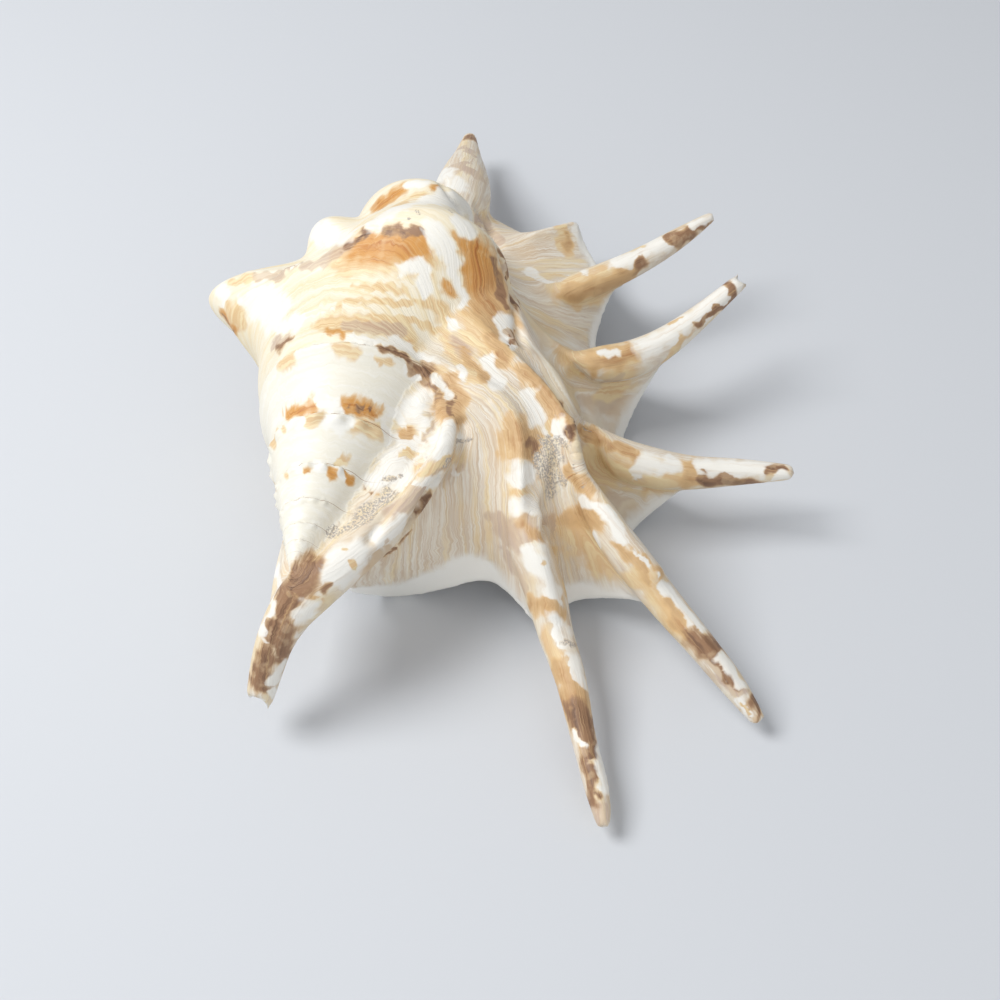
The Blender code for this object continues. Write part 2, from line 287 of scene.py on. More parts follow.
# Each line starts on the last turn at a distance from the apex and an angle, and has 3 points
LIP_VALLEYS = (
    ((13, 0), (-22, -17, 22), (-24, -16.5, 13), (-25, -14, 6)),
    ((18, 15), (-16, -11.5, 25), (-16.5, -12, 13), (-18, -9.3, -1)),
    ((26, 28), (-11, -3, 29), (-9, -9, 16), (-9, -10, 4)),
    ((36, 40), (-5, 4, 33), (-2, -5, 20), (-1, -9, 7)),
    ((48, 44), (3, 9, 35), (10, -3, 22), (15, -9, 4)),
    ((58, 38), (8, 16, 29), (16, 8.5, 14), (22.3, 7.5, -1)),
    ((66, 36), (5, 28, 26), (12.6, 27, 14), (20.3, 29, -1)),
    ((76, 40), (-2, 45, 23), (6, 47, 15), (13, 52, 6)),
    ((88, 50), (-9, 61, 20), (0.6, 67, 15.4), (10.8, 74.3, 9.6)),
    ((100, 60), (-14, 74, 18), (-9, 77, 14.5), (-5, 80, 10.5)),
    ((108, 80), (-19, 81, 18), (-16, 83, 14), (-14, 85, 9.5)),
)
# The folds: place among those lines, then a line of the same kind
LIP_FINGERS = (
    (3.5, ((44, 48), (1, 8, 37), (5, -8, 27), (13.6, -25.5, 11))),
    (4.5, ((54, 42), (8, 12, 36), (16, -2, 28), (32, -14, 14))),
    (5.5, ((62, 36), (7, 20, 31), (17, 15, 22), (36, 15, 15))),
    (6.5, ((70, 36), (2, 36, 28), (13, 35, 22), (29, 44, 20))),
    (7.5, ((82, 45), (-5, 52, 24), (5, 56, 20), (17, 63.5, 18.5))),
    (8.5, ((94, 55), (-10, 66, 19), (-2, 74, 17.6), (5.6, 82.6, 14.8))),
)
MARGIN_MARKS = (0, 0.4, 1, 2.6, 3.1, 4, 5, 6, 7, 8, 9, 10)
MARGIN_WIDTH = (4, 7, 8, 8.5, 5, 4.5, 4.5, 4.5, 3.5, 3, 2, 1)


def spline(points, count):
    """Catmull-Rom curve through the points; extra columns such as a radius go along."""
    points = np.array(points, float)
    before, after = 2 * points[0] - points[1], 2 * points[-1] - points[-2]
    ends = np.concatenate((before[None], points, after[None]))
    place = np.linspace(0, len(points) - 1, count)
    i = np.minimum(place.astype(int), len(points) - 2)
    s = (place - i)[(...,) + (None,) * (points.ndim - 1)]
    a, b, c, d = (ends[i + k] for k in range(4))
    return 0.5 * (
        2 * b + (c - a) * s + (2 * a - 5 * b + 4 * c - d) * s ** 2 + (3 * b - a - 3 * c + d) * s ** 3
    )


def line_points(line):
    (t, degrees), *rest = line
    psi = radians(degrees)
    start = on_axis(float(t), psi, outer_radius(np.array(float(t)), np.array(psi)) - WALL / 2)
    return np.vstack((start, rest))


steps = 32
rows = 260
valleys = np.array([spline(line_points(line), steps) for line in LIP_VALLEYS])
sheet = spline(valleys, rows)
place = np.linspace(0, len(LIP_VALLEYS) - 1, rows)
finger_fold = np.zeros(rows)
for middle, line in LIP_FINGERS:
    fold = spline(line_points(line), steps)
    base = spline(valleys, 20 * (len(LIP_VALLEYS) - 1) + 1)[int(round(middle * 20))]
    near = np.clip(1 - np.abs(place - middle) / 0.5, 0, 1) ** 2.2
    sheet = sheet + near[:, None, None] * (fold - base)
    finger_fold = np.maximum(finger_fold, near)
faces = [
    (i * steps + j, i * steps + j + 1, (i + 1) * steps + j + 1, (i + 1) * steps + j)
    for i in range(rows - 1)
    for j in range(steps - 1)
]
lip = mesh_object("lip", sheet.reshape(-1, 3), faces)
solid = lip.modifiers.new("thickness", "SOLIDIFY")
solid.thickness = LIP_THICKNESS * MM
solid.offset = -1 if lip.data.polygons[len(faces) // 2].normal.z > 0 else 1
outward_way = np.gradient(sheet, axis=1)
step_length = np.linalg.norm(np.diff(sheet, axis=1), axis=-1)
run = np.concatenate((np.zeros((rows, 1)), np.cumsum(step_length, axis=1)), axis=1)
starts = np.array([line[0] for line in LIP_VALLEYS], float)
start_cord = cord_place(starts[:, 0], radians(starts[:, 1]))
start_run = -RADIAN_RUN * radians(starts[:, 1])
cord = np.interp(place, range(len(LIP_VALLEYS)), start_cord)
run_before = np.interp(place, range(len(LIP_VALLEYS)), start_run)[:, None]
margin_width = np.interp(place, MARGIN_MARKS, MARGIN_WIDTH) * (1 - finger_fold)
to_edge = run[:, -1:] - run
margin = smooth_step(margin_width[:, None] - to_edge, -0.6, 0.6)
face_up = np.cross(outward_way, np.gradient(sheet, axis=0))
face_up *= np.where(face_up[rows // 2, steps // 2, 2] > 0, 1, -1)
leave_samples(sheet, outward_way, face_up, (run_before + run, cord[:, None], 1, 0, margin, 0))

# Fingers, canal and inner lip.
# The fingers grew as folds of the lip's edge that closed over themselves, so each is a curved
# tapering tube that comes out of a fold. The canal ends the shell in front, and the thick
# glazed inner lip runs along the mouth underneath. Each has spine points and radii.
FINGERS = {
    "finger_e": (
        ((3, -3, 27), 1.5), ((6, -9, 21.5), 3.4), ((9.8, -14.8, 15.2), 3.6), ((12.4, -20.5, 11.7), 3.1),
        ((15.9, -28, 9.4), 2.7), ((19, -37, 7.2), 2.2), ((22.1, -45, 5.4), 2.1), ((24, -51, 4), 1.3),
    ),
    "finger_d": (
        ((14, 1, 27), 1.2), ((18, -4, 23.5), 2.8), ((23.2, -8.4, 19.3), 3.3), ((30.6, -13.8, 14), 3.0),
        ((37.8, -20.1, 11), 2.6), ((43, -24, 7.5), 2.3), ((48, -28.3, 4), 1.4),
    ),
    "finger_c": (
        ((13, 17, 22), 1.5), ((19, 14.5, 18.5), 3.4), ((25, 14, 16.5), 3.8), ((33, 15, 15), 3.2),
        ((42, 16.4, 15), 2.5), ((51.3, 17, 15.7), 1.5),
    ),
    "finger_b": (
        ((8, 33, 22), 1.5), ((14, 35, 20), 3.4), ((20, 38, 19), 3.7), ((26, 42.2, 20.2), 3.1),
        ((32, 47.9, 22.3), 2.4), ((39.1, 55, 25.7), 1.7),
    ),
    "finger_a": (
        ((2, 54, 18), 1.5), ((7.4, 57.3, 17.8), 3.0), ((12.6, 60.8, 18.2), 3.0),
        ((19.6, 65.4, 19.5), 2.7), ((26.7, 70.8, 21.5), 2.2), ((33.3, 76.6, 23.3), 1.2),
    ),
    "finger_f": (
        ((-9.2, 9, 33.6), 1.6), ((-9.6, 1.4, 32.6), 2.1), ((-11.6, -5.2, 31), 2.6),
        ((-16, -14, 29), 3.0), ((-22.8, -23, 27.4), 3.6), ((-26.9, -26.4, 25.6), 4.2),
        ((-30.2, -29.5, 22.2), 3.7), ((-32.4, -32.5, 18.3), 3.2), ((-33.6, -35.1, 14.5), 2.9),
        ((-34.3, -37.2, 11.4), 2.6), ((-34.7, -38.5, 9.8), 2.4),
    ),
    "rib_root": (
        ((-16, 6, 30), 3.0), ((-17.5, -3, 28.5), 4.2), ((-21, -12, 26.5), 4.6), ((-25, -20, 25), 4.6),
    ),
    "flange": (
        ((-31.5, -8, 22), 2.0), ((-32.8, -14, 21.5), 2.2), ((-33.2, -19, 21), 2.0),
        ((-33, -24, 20.5), 1.9), ((-32.6, -28, 20), 2.0),
    ),
    "flange_root": (
        ((-31, -10, 24), 2.4), ((-31.4, -17, 24), 2.6), ((-30.8, -23, 23.4), 2.6),
        ((-30, -28, 22.5), 2.6),
    ),
    "canal": (
        ((-25, 60, 18), 7.0), ((-21, 72, 17.5), 6.8), ((-20.2, 83, 16.4), 6.5), ((-21, 93, 13.8), 5.2),
        ((-22, 103, 11), 3.4), ((-23, 113.6, 9.2), 1.5),
    ),
    "inner_lip": (
        ((-25, -4, 17), 2.5), ((-26, 1, 13), 4.2), ((-27, 8, 10), 6.5), ((-29, 20, 8.5), 8.5),
        ((-29, 33, 8), 8.8), ((-28, 46, 9.2), 9.6), ((-25.5, 58, 12), 8.6), ((-22.5, 70, 14), 6.8),
        ((-20, 80, 15.5), 5.0),
    ),
}
# The spiral cord that each tube's lines belong to
CORD_OF = {
    "finger_e": 40, "finger_d": 49, "finger_c": 56, "finger_b": 64, "finger_a": 75, "finger_f": 14,
    "rib_root": 12, "flange": 10, "flange_root": 10, "canal": 92, "inner_lip": 60,
}
FINGER_START = 10.0
# Angle, half width and share of the radius by which a finger's ring stands out or falls in
FINGER_RELIEF = ((math.radians(75), math.radians(24), 0.12), (math.radians(270), math.radians(17), -0.5))
# These end in a break with two prongs, TOOTH millimetres long
BROKEN = ("finger_b", "finger_f")
TOOTH = 2.3


def tube_rings(stations, count, around):
    spine = spline([(*point, radius) for point, radius in stations], count)
    centre, radius = spine[:, :3], spine[:, 3]
    along_way = unit(np.gradient(centre, axis=0))
    side = unit(np.cross(along_way, (0, 0, 1.0)))
    up = np.cross(side, along_way)
    angle = np.linspace(0, 2 * math.pi, around, endpoint=False)
    spokes = np.cos(angle)[None, :, None] * side[:, None] + np.sin(angle)[None, :, None] * up[:, None]
    return centre, radius, along_way, spokes, angle


def make_tube(name, stations, count=60, around=36):
    centre, radius, along_way, spokes, angle = tube_rings(stations, count, around)
    outline = np.ones(around)
    if name.startswith("finger"):
        for place, width, height in FINGER_RELIEF:
            outline += height * np.exp(-(((angle - place) / width) ** 2))
    rings = centre[:, None] + (radius[:, None] * outline)[:, :, None] * spokes
    end = centre[-1] + along_way[-1] * radius[-1] * 0.3
    if name in BROKEN:
        rings[-1] += (TOOTH * np.maximum(np.cos(2 * angle), -0.1))[:, None] * along_way[-1]
        end = centre[-1] - along_way[-1] * 0.7
    return closed_tube(name, rings, centre[0], end)


tubes = []
for name, stations in FINGERS.items():
    tubes.append(make_tube(name, stations))
    centre, radius, along_way, spokes, angle = tube_rings(stations, 50, 16)
    length = np.concatenate(([0], np.cumsum(np.linalg.norm(np.diff(centre, axis=0), axis=1))))
    glazed = 1.0 if name == "inner_lip" else 0.0
    leave_samples(
        centre[:, None] + radius[:, None, None] * spokes,
        np.broadcast_to(along_way[:, None], spokes.shape),
        spokes,
        (
            length[:, None] + FINGER_START,
            CORD_OF[name] + radius[:, None] * np.cos(angle),
            1, 1 - glazed, 0, glazed,
        ),
    )

# The mouth.
# The last turn is hollow: its hollow opens in a long slit beside the inner lip and coils up
# behind it, and the canal is open underneath.
MOUTH_FROM = 30.0
MOUTH_TO = 92.0
MOUTH_RIM = math.radians(-38)
MOUTH_END = math.radians(125)
CAVITY_SHARE = 0.60
CANAL_GROOVE = (((-14, 66, 9), 4.0), ((-14, 76, 8), 4.2), ((-16.5, 86, 8), 3.6), ((-19, 96, 6.5), 2.9),
                ((-21.5, 105, 5.5), 2.2), ((-25, 118, 5), 1.6))


def make_cavity(along=100, around=60):
    t = np.linspace(MOUTH_FROM, MOUTH_TO, along)[:, None]
    psi = np.linspace(MOUTH_RIM, MOUTH_END, around)[None, :]
    marks, radii = zip(*BODY_PROFILE)
    scale = turn_scale(psi)
    whorl = scale * smooth_curve(t / scale, marks, radii)
    under_spire = smooth_step(psi, radians(15), radians(35)) * (t < (LAST_SUTURE + 1) * scale)
    whorl = whorl - under_spire * np.maximum(whorl - 0.9 * t * CONE_SLOPE, 0)
    ends = np.clip(np.minimum(t - MOUTH_FROM, MOUTH_TO - t) / 14, 0, 1)
    ends = np.sqrt(ends * (2 - ends))
    depth = np.clip((MOUTH_END - psi) / radians(60), 0, 1)
    depth = np.sqrt(depth * (2 - depth))
    outside = np.clip((radians(20) - psi) / radians(25), 0, 1)
    outer = whorl - WALL + outside * (WALL + 3)
    inner = whorl * (1 - (1 - CAVITY_SHARE) * depth)
    middle = (outer + inner) / 2
    half = np.maximum((outer - inner) / 2, 0.2) * ends
    psi = np.broadcast_to(psi, whorl.shape)
    t = np.broadcast_to(t, whorl.shape)
    rings = np.concatenate((on_axis(t, psi, middle + half), on_axis(t, psi, middle - half)[:, ::-1]), axis=1)
    return closed_tube("cavity", rings, rings[0].mean(axis=0), rings[-1].mean(axis=0))


# The shell in one piece.
# All of it grew as one body, so the surfaces are joined, melted into one skin, and the mouth is
# cut out. The crisp relief of the whorls is then pressed back into the skin.
SKIN_VOXEL = 0.62
FINE_VOXEL = 0.56
SHELL_TRIANGLES = 190000


def only_selected(*pieces):
    bpy.ops.object.select_all(action="DESELECT")
    for piece in pieces:
        piece.select_set(True)
    bpy.context.view_layer.objects.active = pieces[0]


def apply_modifiers(piece):
    only_selected(piece)
    for modifier in list(piece.modifiers):
        bpy.ops.object.modifier_apply(modifier=modifier.name)


def join_all(name, pieces):
    for piece in pieces:
        apply_modifiers(piece)
    only_selected(*pieces)
    bpy.ops.object.join()
    joined = bpy.context.object
    joined.name = name
    joined.data.name = name
    return joined


def melt_together(piece, voxel, rounds):
    melt = piece.modifiers.new("melt", "REMESH")
    melt.mode = "VOXEL"
    melt.voxel_size = voxel * MM
    melt.adaptivity = 0
    soften = piece.modifiers.new("soften", "SMOOTH")
    soften.factor = 0.5
    soften.iterations = rounds


shell = join_all("spider_conch", [whorls, lip] + tubes)
hollow = join_all("hollow", [make_cavity(), make_tube("groove", CANAL_GROOVE)])
melt_together(hollow, SKIN_VOXEL, 2)
melt_together(shell, SKIN_VOXEL, 6)
cut = shell.modifiers.new("mouth", "BOOLEAN")
cut.operation = "DIFFERENCE"
cut.object = hollow
melt_together(shell, FINE_VOXEL, 3)
apply_modifiers(hollow)
apply_modifiers(shell)
bpy.data.objects.remove(hollow)

sample_table = np.concatenate(samples)
sample_tree = KDTree(len(sample_table))
for i, place_mm in enumerate(sample_table[:, :3]):
    sample_tree.insert(place_mm, i)
sample_tree.balance()


def read_points(mesh):
    flat = np.empty(len(mesh.vertices) * 3, np.float32)
    mesh.vertices.foreach_get("co", flat)
    return flat.reshape(-1, 3).astype(float) / MM + MIDDLE


def write_points(mesh, points):
    mesh.vertices.foreach_set("co", (MM * (points - MIDDLE)).astype(np.float32).ravel())
    mesh.update()


def read_normals(mesh):
    flat = np.empty(len(mesh.vertices) * 3, np.float32)
    mesh.vertex_normals.foreach_get("vector", flat)
    return flat.reshape(-1, 3).astype(float)


def nearest_samples(points, count=4):
    """Mean of the nearest samples, weighted by nearness, and the distance to the first."""
    mean = np.empty((len(points), 15))
    first = np.empty(len(points))
    for i, point in enumerate(points):
        found = sample_tree.find_n(point, count)
        index = [entry[1] for entry in found]
        gap = np.array([entry[2] for entry in found])
        weight = 1 / (gap * gap + 0.2)
        mean[i] = weight @ sample_table[index] / weight.sum()
        first[i] = gap[0]
    return mean, first


def about_axis(points):
    """Distance along the coiling axis, angle about it and radius from it."""
    away = points - APEX
    t = away @ AXIS
    x, y = away @ ACROSS, away @ OUT_OF_BACK
    psi = np.arctan2(y, x)
    psi = np.where(psi < radians(STRIP_START), psi + 2 * math.pi, psi)
    return t, psi, np.hypot(x, y)


# Crisp whorls: where the skin is the whorls' own, it goes back to their exact radius
points = read_points(shell.data)
near, _ = nearest_samples(points, 2)
t, psi, r = about_axis(points)
exact = outer_radius(np.maximum(t, 0.5), psi)
off = exact - r
own = smooth_step(1.1 - np.abs(off), 0, 0.5) * smooth_step(0.02 - near[:, 11], 0, 0.02) * smooth_step(t, 2, 5)
own *= smooth_step(psi, radians(45), radians(60)) * smooth_step(radians(325) - psi, 0, radians(15))
axis_out = unit(points - APEX - t[:, None] * AXIS)
points += (own * off)[:, None] * axis_out
points[:, 2] = np.maximum(points[:, 2], 0.0)
write_points(shell.data, points)

reduce = shell.modifiers.new("reduce", "DECIMATE")
reduce.use_collapse_triangulate = True
reduce.ratio = min(1.0, SHELL_TRIANGLES / (2 * len(shell.data.polygons)))
apply_modifiers(shell)
bpy.ops.object.shade_smooth()


def skin_now():
    """The skin's points and normals, and a tree that finds where a line meets it."""
    points = read_points(shell.data)
    faces = [tuple(face.vertices) for face in shell.data.polygons]
    return points, read_normals(shell.data), BVHTree.FromPolygons(points.tolist(), faces)


def seen_at(across, down):
    """The point of the shell that the camera sees there, or the nearest one to that line."""
    line = unit(sight_line(across, down))
    hit, _, _, _ = skin.ray_cast(Vector(eye), Vector(line))
    if hit is not None:
        return np.array(hit)
    away = points - eye
    miss = np.linalg.norm(away - (away @ line)[:, None] * line, axis=1)
    return points[np.argmin(miss)]


# Ridges and grooves that cross from one surface to the next: height and half width in
# millimetres, then points of the photo they pass
RIDGES = (
    # The shoulder, from the horn to the hump
    (0.7, 1.3, ((248, 276), (280, 273), (305, 268), (340, 252), (355, 241), (369, 227))),
    # The welt on the outer side of the last suture
    (0.6, 1.1, ((279, 350), (300, 341), (323, 336), (350, 336), (380, 345), (408, 358), (430, 380),
                (440, 402))),
    # The step from the last turn down to the lip
    (-1.1, 1.1, ((478, 208), (488, 224), (500, 250), (508, 275), (514, 298), (519, 325), (520, 346))),
    # The fold that turns into the fourth finger, and the hollow behind it
    (1.0, 1.7, ((512, 343), (530, 356), (552, 375), (564, 400), (571, 430), (575, 455), (584, 480),
                (604, 507), (628, 538), (656, 572))),
    (-1.3, 1.9, ((548, 350), (572, 372), (585, 400), (590, 430), (592, 456), (604, 484))),
    # The shoulder of the fifth finger
    (0.8, 1.7, ((546, 452), (541, 480), (538, 505), (540, 540), (547, 580), (554, 610))),
    (-0.8, 0.9, ((541, 505), (542, 520), (543, 538))),
    # The strands of the rib under the spire
    (-1.2, 1.0, ((464, 424), (460, 452), (448, 472), (430, 493), (413, 522), (398, 541), (374, 560))),
    (-0.9, 1.0, ((434, 400), (436, 424), (430, 446), (412, 472), (398, 492), (384, 514), (370, 540))),
    # Between the hump and the canal
    (-0.8, 0.9, ((436, 176), (446, 188), (456, 202), (462, 212))),
)
points, normals, skin = skin_now()
lift = np.zeros(len(points))
for height, half_width, path in RIDGES:
    spots = np.array([seen_at(*spot) for spot in spline(path, 8 * len(path))])
    gap = np.full(len(points), np.inf)
    for first, last in zip(spots, spots[1:]):
        step = last - first
        share = np.clip((points - first) @ step / max(step @ step, 1e-9), 0, 1)
        gap = np.minimum(gap, np.linalg.norm(points - first - share[:, None] * step, axis=1))
    lift += height * np.exp(-((gap / half_width) ** 2))
lift *= smooth_step(normals @ toward_camera, 0, 0.3)
points += lift[:, None] * normals
points[:, 2] = np.maximum(points[:, 2], 0.0)
write_points(shell.data, points)

